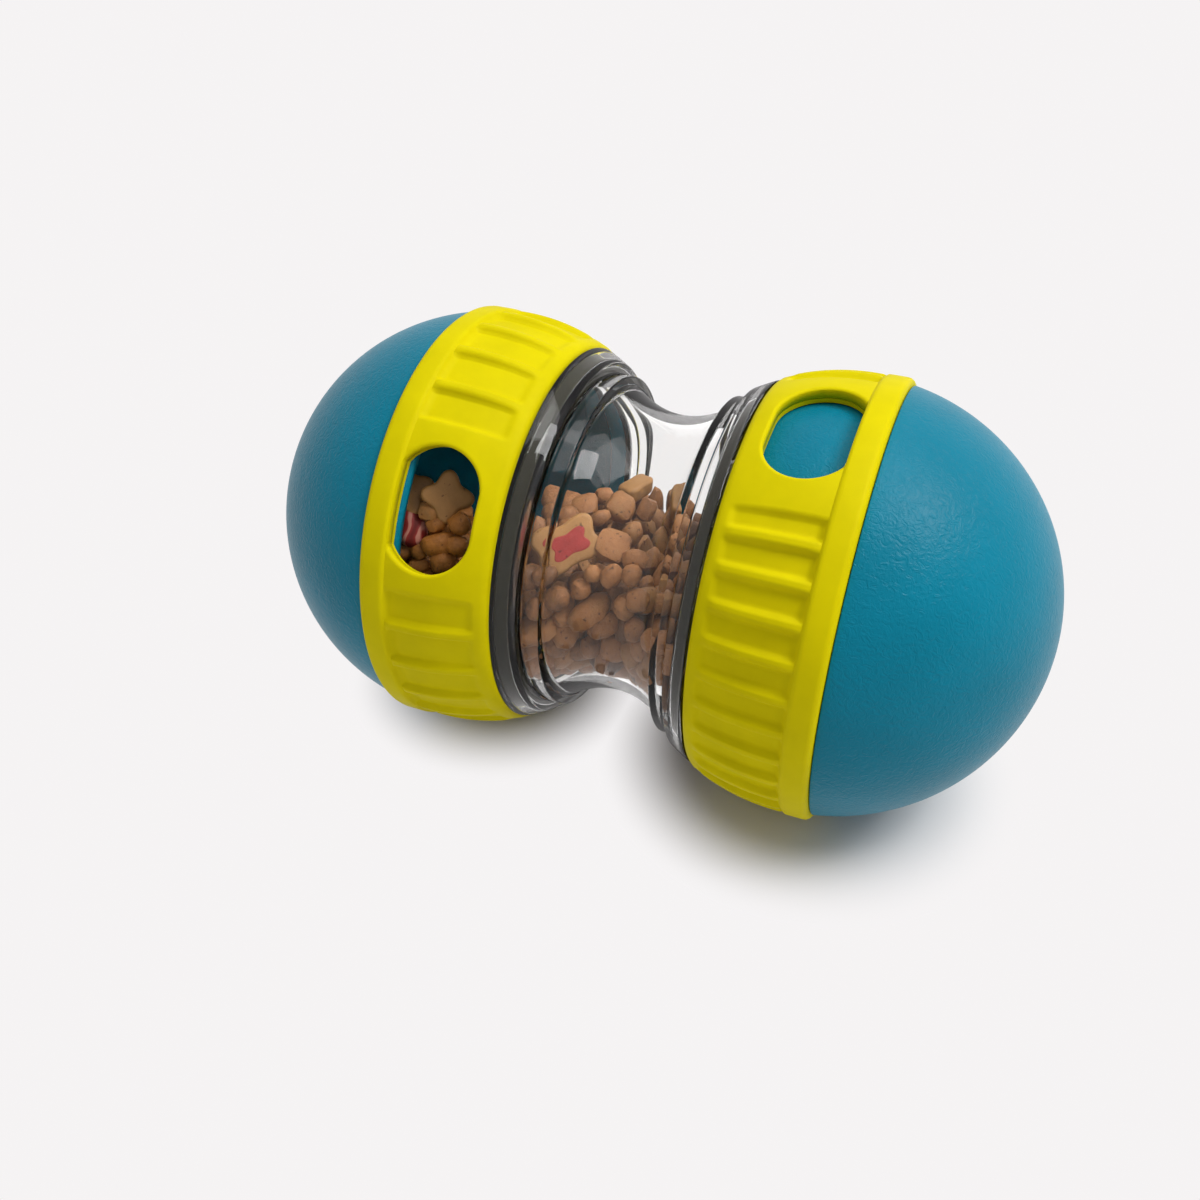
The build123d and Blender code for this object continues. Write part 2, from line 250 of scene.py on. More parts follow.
def keep(bm, name):
    """Makes a bmesh a named object with smooth faces and its sharp edges marked."""
    for face in bm.faces:
        face.smooth = True
    for edge in bm.edges:
        if len(edge.link_faces) == 2 and edge.calc_face_angle(0) > SHARP_ANGLE:
            edge.smooth = False
    mesh = bpy.data.meshes.new(name)
    bm.to_mesh(mesh)
    bm.free()
    piece = bpy.data.objects.new(name, mesh)
    bpy.context.scene.collection.objects.link(piece)
    return piece


def cut(piece, cutter):
    """Takes the cutter's volume out of a piece, and removes the cutter."""
    step = piece.modifiers.new("cut", "BOOLEAN")
    step.operation = "DIFFERENCE"
    step.solver = "EXACT"
    step.object = cutter
    graph = bpy.context.evaluated_depsgraph_get()
    mesh = bpy.data.meshes.new_from_object(piece.evaluated_get(graph))
    piece.modifiers.clear()
    piece.data = mesh
    bpy.data.objects.remove(cutter)


def outward(angle):
    """Unit vector away from the roll axis at this angle in degrees from the front towards the top."""
    return Vector((0, -math.cos(math.radians(angle)), math.sin(math.radians(angle))))


def facing(angle):
    """Matrix whose local X runs along the feeder and whose local Z looks outwards at this angle."""
    out = outward(angle)
    across = out.cross(Vector((1, 0, 0)))
    turned = Matrix((Vector((1, 0, 0)), across, out)).transposed().to_4x4()
    return Matrix.Translation((0, 0, AXIS)) @ turned


# Materials


def shader(name):
    """A new material with its node tree, its links and its main shader."""
    material = bpy.data.materials.new(f"{name}_finish")
    material.use_nodes = True
    nodes = material.node_tree.nodes
    return material, nodes, material.node_tree.links, nodes["Principled BSDF"]


def pattern(nodes, links, kind, scale, **values):
    """A texture on object coordinates, with its inputs set by name."""
    texture = nodes.new(kind)
    texture.inputs["Scale"].default_value = scale
    for key, value in values.items():
        texture.inputs[key].default_value = value
    place = nodes.get("Texture Coordinate") or nodes.new("ShaderNodeTexCoord")
    links.new(place.outputs["Object"], texture.inputs["Vector"])
    return texture


def ramp(nodes, links, source, stops):
    """A colour ramp on a texture's value, with stops of (place, colour)."""
    node = nodes.new("ShaderNodeValToRGB")
    while len(node.color_ramp.elements) < len(stops):
        node.color_ramp.elements.new(1)
    for element, (place, colour) in zip(node.color_ramp.elements, stops):
        element.position = place
        element.color = (*colour, 1)
    links.new(source, node.inputs["Fac"])
    return node


def span(nodes, links, source, low, high):
    """A value range from low to high, following a texture."""
    node = nodes.new("ShaderNodeMapRange")
    node.inputs["To Min"].default_value = low
    node.inputs["To Max"].default_value = high
    links.new(source, node.inputs["Value"])
    return node


def bump(nodes, links, main, heights):
    """Chains bumps of (height, strength, distance) into the main shader's normal."""
    before = None
    for height, strength, distance in heights:
        node = nodes.new("ShaderNodeBump")
        node.inputs["Strength"].default_value = strength
        node.inputs["Distance"].default_value = distance
        links.new(height, node.inputs["Height"])
        if before:
            links.new(before.outputs["Normal"], node.inputs["Normal"])
        before = node
    links.new(before.outputs["Normal"], main.inputs["Normal"])


def shade(colour, factor):
    """A colour made darker or paler."""
    return tuple(min(value * factor, 1) for value in colour)


def blue_plastic():
    """Satin moulded plastic with a fine wrinkle grain."""
    material, nodes, links, main = shader("blue_plastic")
    blue = tuple(colours().blue)
    clouds = pattern(nodes, links, "ShaderNodeTexNoise", 45, Detail=3, Roughness=0.5)
    stops = (0.3, shade(blue, 0.93)), (0.7, shade(blue, 1.07))
    tone = ramp(nodes, links, clouds.outputs["Fac"], stops)
    links.new(tone.outputs["Color"], main.inputs["Base Color"])
    grain = pattern(
        nodes, links, "ShaderNodeTexNoise", 620, Detail=2.5, Roughness=0.55, Distortion=1.6
    )
    fine = pattern(nodes, links, "ShaderNodeTexNoise", 2600, Detail=1, Roughness=0.5)
    gloss = span(nodes, links, grain.outputs["Fac"], 0.29, 0.43)
    links.new(gloss.outputs["Result"], main.inputs["Roughness"])
    main.inputs["Specular IOR Level"].default_value = 0.12
    wrinkles = (grain.outputs["Fac"], 0.95, 0.22 * MM), (fine.outputs["Fac"], 0.2, 0.02 * MM)
    bump(nodes, links, main, wrinkles)
    return material


def yellow_rubber():
    """Soft matt rubber with a faint moulded mottle."""
    material, nodes, links, main = shader("yellow_rubber")
    yellow = tuple(colours().yellow)
    clouds = pattern(nodes, links, "ShaderNodeTexNoise", 90, Detail=4, Roughness=0.6)
    stops = (0.3, shade(yellow, 0.94)), (0.7, shade(yellow, 1.05))
    tone = ramp(nodes, links, clouds.outputs["Fac"], stops)
    links.new(tone.outputs["Color"], main.inputs["Base Color"])
    main.inputs["Roughness"].default_value = 0.5
    main.inputs["Specular IOR Level"].default_value = 0.03
    main.inputs["Subsurface Weight"].default_value = 0.08
    main.inputs["Subsurface Radius"].default_value = (1.0, 0.7, 0.1)
    main.inputs["Subsurface Scale"].default_value = 1.2 * MM
    grain = pattern(nodes, links, "ShaderNodeTexNoise", 1900, Detail=2, Roughness=0.6)
    waves = pattern(nodes, links, "ShaderNodeTexNoise", 240, Detail=2, Roughness=0.5)
    mottle = (waves.outputs["Fac"], 0.25, 0.1 * MM), (grain.outputs["Fac"], 0.25, 0.03 * MM)
    bump(nodes, links, main, mottle)
    return material


def clear_plastic():
    """Clear polished plastic, with faint waves of moulding."""
    material, nodes, links, main = shader("clear_plastic")
    main.inputs["Base Color"].default_value = (0.985, 0.987, 0.982, 1)
    main.inputs["Transmission Weight"].default_value = 1
    main.inputs["IOR"].default_value = 1.48
    main.inputs["Specular IOR Level"].default_value = 0.14
    scuffs = pattern(nodes, links, "ShaderNodeTexNoise", 60, Detail=5, Roughness=0.6)
    gloss = span(nodes, links, scuffs.outputs["Fac"], 0.0, 0.02)
    links.new(gloss.outputs["Result"], main.inputs["Roughness"])
    waves = pattern(nodes, links, "ShaderNodeTexNoise", 30, Detail=0)
    bump(nodes, links, main, ((waves.outputs["Fac"], 0.02, 0.2 * MM),))
    path = nodes.new("ShaderNodeLightPath")
    lit = nodes.new("ShaderNodeBsdfTransparent")
    lit.inputs["Color"].default_value = (0.95, 0.95, 0.94, 1)
    # More than half of the wall bends the light without mirroring the floor over the treats
    bent = nodes.new("ShaderNodeBsdfRefraction")
    bent.inputs["Color"].default_value = (0.985, 0.987, 0.982, 1)
    bent.inputs["IOR"].default_value = 1.48
    bent.inputs["Roughness"].default_value = 0
    calm = nodes.new("ShaderNodeMixShader")
    calm.inputs["Fac"].default_value = 0.58
    links.new(main.outputs["BSDF"], calm.inputs[1])
    links.new(bent.outputs["BSDF"], calm.inputs[2])
    through = nodes.new("ShaderNodeMixShader")
    links.new(path.outputs["Is Shadow Ray"], through.inputs["Fac"])
    links.new(calm.outputs["Shader"], through.inputs[1])
    links.new(lit.outputs["BSDF"], through.inputs[2])
    links.new(through.outputs["Shader"], nodes["Material Output"].inputs["Surface"])
    return material


def seal_rubber():
    """Matt black rubber with a faint olive cast, painted reflection of the yellow collars."""
    material, nodes, links, main = shader("seal_rubber")
    # Near black; its faint olive cast is painted reflection of the yellow collars seen through the clear tube
    main.inputs["Base Color"].default_value = (0.013, 0.012, 0.006, 1)
    main.inputs["Specular IOR Level"].default_value = 0.04
    dust = pattern(nodes, links, "ShaderNodeTexNoise", 800, Detail=3)
    gloss = span(nodes, links, dust.outputs["Fac"], 0.4, 0.6)
    links.new(gloss.outputs["Result"], main.inputs["Roughness"])
    bump(nodes, links, main, ((dust.outputs["Fac"], 0.2, 0.02 * MM),))
    return material


def baked(name, colour, contrast, pits, toned=False):
    """Dry baked treat: mottled colour, pits with painted shade in them and a rough skin; toned ones differ
    from treat to treat.
    """
    material, nodes, links, main = shader(name)
    colour = tuple(colour)
    clouds = pattern(nodes, links, "ShaderNodeTexNoise", 240, Detail=6, Roughness=0.7)
    if toned:
        spread = span(nodes, links, clouds.outputs["Fac"], -0.5, 0.5)
        own = nodes.new("ShaderNodeAttribute")
        own.attribute_name = "tone"
        both = nodes.new("ShaderNodeMath")
        links.new(own.outputs["Fac"], both.inputs[0])
        links.new(spread.outputs["Result"], both.inputs[1])
        stops = ((0.1, shade(colour, 0.36)), (0.48, colour), (0.85, shade(colours().biscuit, 0.9)))
        tone = ramp(nodes, links, both.outputs["Value"], stops)
    else:
        stops = ((0.28, shade(colour, 1 - contrast)), (0.5, colour), (0.74, shade(colour, 1 + contrast)))
        tone = ramp(nodes, links, clouds.outputs["Fac"], stops)
    holes = pattern(nodes, links, "ShaderNodeTexNoise", 950, Detail=2, Roughness=0.5)
    deep = 0.29 if toned else 0.25
    # Where the pit noise is low the bump below sinks the skin and the colour darkens: painted shade in the
    # pits
    spots = ramp(nodes, links, holes.outputs["Fac"], ((deep, (1, 1, 1)), (deep + 0.07, (0, 0, 0))))
    mix = nodes.new("ShaderNodeMix")
    mix.data_type = "RGBA"
    pit_shade_colour = shade(colour, 0.35)
    links.new(spots.outputs["Color"], mix.inputs["Factor"])
    links.new(tone.outputs["Color"], mix.inputs["A"])
    mix.inputs["B"].default_value = (*pit_shade_colour, 1)
    links.new(mix.outputs["Result"], main.inputs["Base Color"])
    main.inputs["Roughness"].default_value = 0.42
    main.inputs["Specular IOR Level"].default_value = 0.28
    skin = pattern(nodes, links, "ShaderNodeTexNoise", 640, Detail=6, Roughness=0.75)
    bump(nodes, links, main, ((skin.outputs["Fac"], 0.9, pits), (holes.outputs["Fac"], 0.4, pits * 0.5)))
    return material


def red_treat():
    """Reddish treat with pale seams."""
    material, nodes, links, main = shader("red_treat")
    red = tuple(colours().filling)
    seams = pattern(nodes, links, "ShaderNodeTexWave", 95, Distortion=5, Detail=2, **{"Detail Scale": 1.5})
    stops = ((0.0, shade(red, 0.45)), (0.7, shade(red, 0.9)), (0.9, (0.5, 0.2, 0.15)))
    tone = ramp(nodes, links, seams.outputs["Fac"], stops)
    links.new(tone.outputs["Color"], main.inputs["Base Color"])
    main.inputs["Roughness"].default_value = 0.45
    main.inputs["Specular IOR Level"].default_value = 0.2
    skin = pattern(nodes, links, "ShaderNodeTexNoise", 900, Detail=4, Roughness=0.7)
    bump(nodes, links, main, ((seams.outputs["Fac"], 0.5, 0.3 * MM), (skin.outputs["Fac"], 0.6, 0.15 * MM)))
    return material


MAKERS = {
    "blue_plastic": blue_plastic,
    "yellow_rubber": yellow_rubber,
    "clear_plastic": clear_plastic,
    "seal_rubber": seal_rubber,
    "kibble": lambda: baked("kibble", colours().kibble, 0.35, 0.4 * MM, toned=True),
    "warm_kibble": lambda: baked("warm_kibble", colours().warm_kibble, 0.35, 0.4 * MM, toned=True),
    "biscuit": lambda: baked("biscuit", colours().biscuit, 0.16, 0.12 * MM),
    "filling": lambda: baked("filling", colours().filling, 0.2, 0.12 * MM),
    "red_treat": red_treat,
}


def finish_of(name):
    """The named material, made on its first use."""
    return bpy.data.materials.get(f"{name}_finish") or MAKERS[name]()


def dress(piece, material, slot, body, *nodes):
    """Gives a piece its material, its body and the nodes it stands for. The slot is not used."""
    piece.data.materials.clear()
    piece.data.materials.append(finish_of(material))
    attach(piece, body)
    if nodes:
        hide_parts(*nodes)


# Domes


class FEEDER_OT_domes(bpy.types.Operator):
    """Makes the two blue domes with their inner webs."""

    bl_idname = "feeder.domes"
    bl_label = "Domes"

    def execute(self, context):
        radius = sizes().ball_radius
        wall = 2.5 * MM
        start = 50.15 * MM
        web = 2 * MM
        web_bore = 43.6 * MM
        for name, side in SIDES:
            outer = ball_arc(radius, start, BALL_OFFSET + radius, 56)
            inner = ball_arc(radius - wall, start + web, BALL_OFFSET + radius - wall, 24)
            profile = outer[::-1] + [(start, web_bore), (start + web, web_bore)] + inner
            bm = lathe(mirrored(profile, side), closed=False)
            round_edges(bm, 0.3 * MM, least=math.radians(60))
            piece = keep(bm, f"dome_{name}")
            dress(piece, "blue_plastic", "blue_plastic", f"{name}_ball", f"{name}_dome")
        return {"FINISHED"}


# Sleeves


class FEEDER_OT_sleeves(bpy.types.Operator):
    """Makes the two blue sleeves with their ports."""

    bl_idname = "feeder.sleeves"
    bl_label = "Sleeves"

    def execute(self, context):
        radius = 45.6 * MM
        wall = 2 * MM
        mouth, mouth_end, end = 20.9 * MM, 26 * MM, 50 * MM
        mouth_bore = 37.2 * MM
        spigot, spigot_end = 43.3 * MM, 54.8 * MM
        for name, side in SIDES:
            profile = ball_arc(radius, mouth, BALL_OFFSET, 20)
            profile += [(end, radius), (end, spigot), (spigot_end, spigot), (spigot_end, spigot - wall)]
            profile += [(end - wall, spigot - wall), (end - wall, radius - wall)]
            profile += ball_arc(radius - wall, mouth_end, BALL_OFFSET, 16)[::-1]
            profile += [(mouth_end, mouth_bore), (mouth, mouth_bore)]
            bm = lathe(mirrored(profile, side))
            piece = keep(bm, f"sleeve_{name}")
            cut(piece, self.port(side, PORT_ANGLES[name]))
            dress(piece, "blue_plastic", "blue_plastic", f"{name}_ball", f"{name}_sleeve")
        return {"FINISHED"}

    def port(self, side, angle):
        """Rounded block that cuts the outlet port."""
        low, high = 27 * MM, 43.5 * MM
        chord = 29.7 * MM
        reach = 60 * MM
        bm = bmesh.new()
        bmesh.ops.create_cube(bm, size=1)
        bmesh.ops.scale(bm, vec=(high - low, chord, reach), verts=bm.verts)
        upright = [e for e in bm.edges if abs(e.verts[0].co.z - e.verts[1].co.z) > reach / 2]
        bmesh.ops.bevel(
            bm, geom=upright, offset=4 * MM, offset_type="OFFSET", segments=8, profile=0.5,
            affect="EDGES", clamp_overlap=True, material=-1,
        )
        bmesh.ops.translate(bm, vec=(side * (low + high) / 2, 0, reach / 2), verts=bm.verts)
        bmesh.ops.transform(bm, matrix=facing(angle), verts=bm.verts)
        return keep(bm, "port_cutter")


# Collars


class FEEDER_OT_collars(bpy.types.Operator):
    """Makes the two soft collars: ribs, panels, pad, window and raised band."""

    bl_idname = "feeder.collars"
    bl_label = "Collars"

    start = 22 * MM
    band_start = 44 * MM
    band_end = 50 * MM
    bore = 47 * MM
    window_middle = 36 * MM
    rim_round = 0.9 * MM
    # Where the panels start along the feeder, the lengths over which their ends and the ribs' flanks
    # ease in, and how far a rib's crown stands over the collar
    panel_start = 24.3 * MM
    panel_ease = 1.8 * MM
    band_ease = 0.5 * MM
    flank_width = 0.95 * MM
    pad_ease = math.radians(1.6)
    crown_height = 0.32 * MM
    # The panels grow from this share of their depth to the full depth over this length
    shallow_share = 0.65
    deepening = 12 * MM

    def execute(self, context):
        for name, side in SIDES:
            bm = lathe(mirrored(self.profile(), side), steps=COLLAR_STEPS)
            self.refine(bm, side, WINDOW_ANGLES[name])
            self.shape(bm, side, WINDOW_ANGLES[name], PAD_ANGLES[name])
            piece = keep(bm, f"collar_{name}")
            cut(piece, self.window(side, WINDOW_ANGLES[name]))
            dress(piece, "yellow_rubber", "yellow_rubber", f"{name}_gate", f"{name}_collar")
            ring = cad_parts[f"{name}_gate_ring"]
            ring.data.materials.clear()
            ring.data.materials.append(finish_of("yellow_rubber"))
        return {"FINISHED"}

    def profile(self):
        """Section of the collar: outer face, band and bore."""
        s = sizes()
        edge, corner = 1.0 * MM, 1.5 * MM
        outer = ball_arc(s.collar_radius, self.start + edge, BALL_OFFSET, 30)
        # Rounded edge beside the tube, in shares of its width along the feeder and inwards
        brow = ball_height(s.collar_radius, self.start)
        nose = [(self.start, ball_height(self.bore, self.start))]
        for along, inwards in ((0, 0.9), (0.12, 0.42), (0.45, 0.02)):
            nose.append((self.start + edge * along, brow - edge * inwards))
        # Step up to the band, in millimetres from the band's start and shares of the rise
        rise = s.band_radius - s.collar_radius
        step = []
        for along, share in ((-0.9, 0), (-0.1, 0), (0.2, 0.5), (0.55, 0.92), (1.2, 1)):
            step.append((self.band_start + along * MM, s.collar_radius + rise * share))
        flat = [(self.band_end - corner, s.band_radius)]
        for share in (0.25, 0.5, 0.75, 1.0):
            turn = share * TURN / 4
            flat.append((
                self.band_end - corner + corner * math.sin(turn),
                s.band_radius - corner + corner * math.cos(turn),
            ))
        inside = [(self.band_end, self.bore), (BALL_OFFSET, self.bore)]
        inside += ball_arc(self.bore, self.start, BALL_OFFSET, 8)[1:-1][::-1]
        return nose + outer + step + flat + inside

    def place(self, point, side, angle):
        """Distance along the feeder, angle from the window in radians, and height over the axis."""
        up = outward(angle)
        across = Vector((0, -up.z, up.y))
        from_axis = point - Vector((point.x, 0, AXIS))
        turn = math.atan2(from_axis.dot(across), from_axis.dot(up))
        return side * point.x, turn, from_axis.length

    def beyond_window(self, along, turn, height):
        """Distance outside the window's outline, negative inside it and large on the far side."""
        s = sizes()
        half = s.window_width / 2
        straight = s.window_length / 2 - half
        across = height * math.sin(turn)
        over = max(abs(across) - straight, 0)
        slot = math.hypot(along - self.window_middle, over) - half
        if math.cos(turn) < 0:
            return self.bore
        return max(slot, along - self.band_start)

    def refine(self, bm, side, angle):
        """Divides the faces near the window's outline."""
        skin, margin = 2 * MM, 1.6 * MM
        near = []
        for face in bm.faces:
            along, turn, height = self.place(face.calc_center_median(), side, angle)
            if height > self.bore - skin and abs(self.beyond_window(along, turn, height)) < margin:
                near += face.edges
        bmesh.ops.subdivide_edges(bm, edges=list(set(near)), cuts=2, use_grid_fill=True)

    def shape(self, bm, side, angle, pad_angle):
        """Moves the outer face in and out to form ribs, panels and the window's rounded rim."""
        s = sizes()
        pitch = TURN / (s.right_ribs if side > 0 else s.left_ribs)
        pad = math.radians(pad_angle)
        skin, first, last = 0.3 * MM, self.start + 1.0 * MM, self.band_start + 1.5 * MM
        rim_end = self.band_start - 0.3 * MM
        for vert in bm.verts:
            along, turn, height = self.place(vert.co, side, angle)
            surface = ball_height(s.collar_radius, min(along, BALL_OFFSET))
            if height < surface - skin or not first <= along <= last:
                continue
            away = turn % TURN - math.pi
            offset = (away / pitch) % 1 - 0.5
            rib = abs(offset) * pitch * height
            flank = smooth((rib - s.rib_width / 2) / self.flank_width)
            inner = smooth((along - self.panel_start) / self.panel_ease)
            outer = 1 - smooth((along - self.band_start + self.band_ease) / self.band_ease)
            ribbed = smooth((abs(turn) - pad) / self.pad_ease)
            deeper = smooth((along - self.panel_start) / self.deepening)
            depth = s.panel_depth * (self.shallow_share + (1 - self.shallow_share) * deeper)
            crown = (1 - flank) * self.crown_height * inner * outer * ribbed
            drop = depth * flank * inner * outer * ribbed
            gap = self.beyond_window(along, turn, height)
            rim = 0
            if gap < self.rim_round and along < rim_end:
                lean = self.rim_round - max(gap, 0)
                rim = self.rim_round - math.sqrt(self.rim_round**2 - lean**2)
            new = height + crown - drop - rim
            middle = Vector((vert.co.x, 0, AXIS))
            vert.co = middle + (vert.co - middle) * (new / height)

    def window(self, side, angle):
        """Rounded slot, cut straight at the band, that cuts the window."""
        s = sizes()
        half = s.window_width / 2
        straight = s.window_length / 2 - half
        foot, reach = 30 * MM, 40 * MM
        bm = bmesh.new()
        for end in (-1, 1):
            ring = bmesh.ops.create_circle(bm, cap_ends=False, radius=half, segments=64)["verts"]
            bmesh.ops.translate(bm, vec=(side * self.window_middle, end * straight, foot), verts=ring)
        bmesh.ops.convex_hull(bm, input=bm.verts)
        inner = [v for v in bm.verts if not v.link_faces]
        bmesh.ops.delete(bm, geom=inner, context="VERTS")
        bmesh.ops.dissolve_limit(bm, angle_limit=0.01, verts=bm.verts, edges=bm.edges)
        grown = bmesh.ops.extrude_face_region(bm, geom=bm.faces)
        tops = [item for item in grown["geom"] if isinstance(item, bmesh.types.BMVert)]
        bmesh.ops.translate(bm, vec=(0, 0, reach), verts=tops)
        bmesh.ops.recalc_face_normals(bm, faces=bm.faces)
        cut_off = bmesh.ops.bisect_plane(
            bm, geom=list(bm.verts) + list(bm.edges) + list(bm.faces),
            plane_co=(side * self.band_start, 0, 0), plane_no=(side, 0, 0), clear_outer=True,
        )
        rim = [item for item in cut_off["geom_cut"] if isinstance(item, bmesh.types.BMEdge)]
        bmesh.ops.edgeloop_fill(bm, edges=rim)
        bmesh.ops.recalc_face_normals(bm, faces=bm.faces)
        bmesh.ops.transform(bm, matrix=facing(angle), verts=bm.verts)
        return keep(bm, "window_cutter")


def smooth(value):
    """Smooth step from 0 to 1."""
    value = min(max(value, 0), 1)
    return value * value * (3 - 2 * value)


# Clear tube


class FEEDER_OT_tube(bpy.types.Operator):
    """Makes the clear hourglass tube with its stepped flanges and necks."""

    bl_idname = "feeder.tube"
    bl_label = "Clear tube"

    def execute(self, context):
        radius = sizes().ball_radius
        flare, flare_radius = 12.5 * MM, 37.6 * MM
        step, step_end = 39.6 * MM, 16.5 * MM
        skirt_end, skirt_wall = 21.6 * MM, 2.2 * MM
        web_end, neck, neck_end = 18.9 * MM, 36.9 * MM, 25.9 * MM
        outer = waist_arc(sizes().waist_radius, flare, flare_radius, 24)
        outer += [(flare, step), (step_end, step), (step_end, ball_height(radius, step_end))]
        outer += ball_arc(radius, step_end, skirt_end, 6)[1:]
        inner_skirt = ball_arc(radius - skirt_wall, web_end, skirt_end, 4)[::-1]
        outer += inner_skirt + [(web_end, neck), (neck_end, neck), (neck_end, NECK_BORE)]
        bore_line = [(BORE_FLARE, NECK_BORE)] + waist_arc(WAIST_BORE, BORE_FLARE, NECK_BORE, 24)[:-1][::-1]
        half = outer + bore_line
        profile = [(-x, height) for x, height in half[1:-1]][::-1] + half
        bm = lathe(profile)
        round_edges(bm, 0.4 * MM, least=math.radians(50))
        piece = keep(bm, "tube_clear")
        dress(piece, "clear_plastic", "clear_plastic", "tube", "clear_tube")
        return {"FINISHED"}


def waist_arc(waist, reach, rim, count):
    """Points of the hourglass curve from its waist to a rim at this reach."""
    rise = rim - waist
    curve = (reach**2 + rise**2) / (2 * rise)
    last = math.asin(reach / curve)
    angles = [last * step / count for step in range(count + 1)]
    return [(curve * math.sin(a), waist + curve * (1 - math.cos(a))) for a in angles]


# Seal rings


class FEEDER_OT_seals(bpy.types.Operator):
    """Makes the two black seal rings."""

    bl_idname = "feeder.seals"
    bl_label = "Seal rings"

    def execute(self, context):
        start, end, lip_end, bore = 19 * MM, 20.8 * MM, 21.5 * MM, 37.2 * MM
        lip_radius, lip_bore = 46.85 * MM, 45.75 * MM
        for name, side in SIDES:
            section = ball_arc(lip_radius, start, lip_end, 5) + ball_arc(lip_bore, end, lip_end, 3)[::-1]
            bm = lathe(mirrored(section + [(end, bore), (start, bore)], side))
            round_edges(bm, 0.3 * MM, least=math.radians(60))
            piece = keep(bm, f"seal_{name}")
            dress(piece, "seal_rubber", "seal_rubber", f"{name}_seal", f"{name}_seal_ring")
        return {"FINISHED"}


# Treats


def chamber_radius(x):
    """Inner radius of the feeder at distances from its middle, as an array."""
    reach = np.abs(x)
    neck_end, sleeve_end, spigot_end = 26 * MM, 48 * MM, 55 * MM
    curve = (BORE_FLARE**2 + (NECK_BORE - WAIST_BORE) ** 2) / (2 * (NECK_BORE - WAIST_BORE))
    waist = WAIST_BORE + curve - np.sqrt(np.maximum(curve**2 - reach**2, 0))
    sleeve = np.sqrt(np.maximum(SLEEVE_BORE**2 - np.minimum(reach - BALL_OFFSET, 0) ** 2, 0))
    dome = np.sqrt(np.maximum(DOME_BORE**2 - (reach - BALL_OFFSET) ** 2, 0))
    return np.select(
        [reach < BORE_FLARE, reach < neck_end, reach < sleeve_end, reach < spigot_end],
        [waist, np.full_like(reach, NECK_BORE), sleeve, np.full_like(reach, SPIGOT_BORE)], dome,
    )


def settle(count, low, high, radius, level, fixed, seed):
    """Lets balls fall and roll apart round the fixed ones inside the chamber: their places and radii."""
    dice = np.random.default_rng(seed)
    smallest, largest = 0.82, 1.15
    spread, depth = 0.75, 30
    steps, fast_steps = 160, 120
    fast_fall, slow_fall = 0.34 * MM, 0.07 * MM
    push, sides, gap, least = 0.42, 0.7, 0.2 * MM, 1e-9
    size = dice.uniform(smallest, largest, count) * radius
    spot = np.empty((count, 3))
    spot[:, 0] = dice.uniform(low + radius, high - radius, count)
    spot[:, 1] = dice.uniform(-spread, spread, count) * depth * MM
    spot[:, 2] = dice.uniform(-depth * MM, level, count)
    spot = np.vstack([spot, fixed[:, :3]])
    size = np.append(size, fixed[:, 3])
    held = spot.copy()
    for step in range(steps):
        spot[:, 2] -= fast_fall if step < fast_steps else slow_fall
        apart = spot[:, None] - spot[None]
        far = np.sqrt((apart**2).sum(2)) + least
        deep = np.maximum(size[:, None] + size[None] - far, 0)
        np.fill_diagonal(deep, 0)
        spot += (apart / far[..., None] * deep[..., None]).sum(1) * push
        spot[:, 0] = np.clip(spot[:, 0], low + size, high - size)
        left, right = spot[:, 0] - size * sides, spot[:, 0] + size * sides
        room = np.minimum(chamber_radius(left), chamber_radius(right))
        room = np.minimum(room, chamber_radius(spot[:, 0])) - size - gap
        out = np.maximum(np.hypot(spot[:, 1], spot[:, 2]), least)
        pull = np.minimum(room / out, 1)
        spot[:, 1] *= pull
        spot[:, 2] *= pull
        spot[count:] = held[count:]
    return spot[:count], size[:count]


def over_axis(pick, reach):
    """Place over the roll axis where the camera's line through a pixel first comes this near to it."""
    start, line = camera_place() - Vector((0, 0, AXIS)), sight(*pick)
    lean, steep = start.yz.dot(line.yz), line.yz.length_squared
    left = lean**2 - steep * (start.yz.length_squared - reach**2)
    return start + line * ((-lean - math.sqrt(left)) / steep)


def at_wall(pick, half):
    """Place over the roll axis of a treat with this half height at the tube's front wall."""
    gap, squeeze = 0.6 * MM, 0.85
    place = over_axis(pick, 26 * MM)
    for _ in range(6):
        reach = float(chamber_radius(np.array([place.x]))[0])
        place = over_axis(pick, reach - half * squeeze - gap)
    return place


def on_heap(pick, half):
    """Place over the roll axis where the camera's line through a pixel meets the top of the tube's heap."""
    slope, height = Vector((0, 0.2, 1)), 9.5 * MM
    start, line = camera_place() - Vector((0, 0, AXIS)), sight(*pick)
    return start + line * ((height - start.dot(slope)) / line.dot(slope))


def in_window(pick, half):
    """Place over the roll axis of a treat close behind the left window."""
    return over_axis(pick, 38.5 * MM)


def sighted(pick, reach, move):
    """Place seen at a pixel, this near the roll axis and then moved, in millimetres to a tenth."""
    found = over_axis(pick, reach * MM)
    return [round(round(value / MM, 1) + by, 1) for value, by in zip(found, move)]


# Each finds a treat's place from its pixel and its half height
FINDERS = {"wall": at_wall, "heap": on_heap, "window": in_window}


def tilted(places, tilt):
    """Places turned about the roll axis by this tilt, high at the front."""
    across = places[:, 1] * math.cos(tilt) + places[:, 2] * math.sin(tilt)
    above = places[:, 2] * math.cos(tilt) - places[:, 1] * math.sin(tilt)
    return np.stack((places[:, 0], across, above), 1)


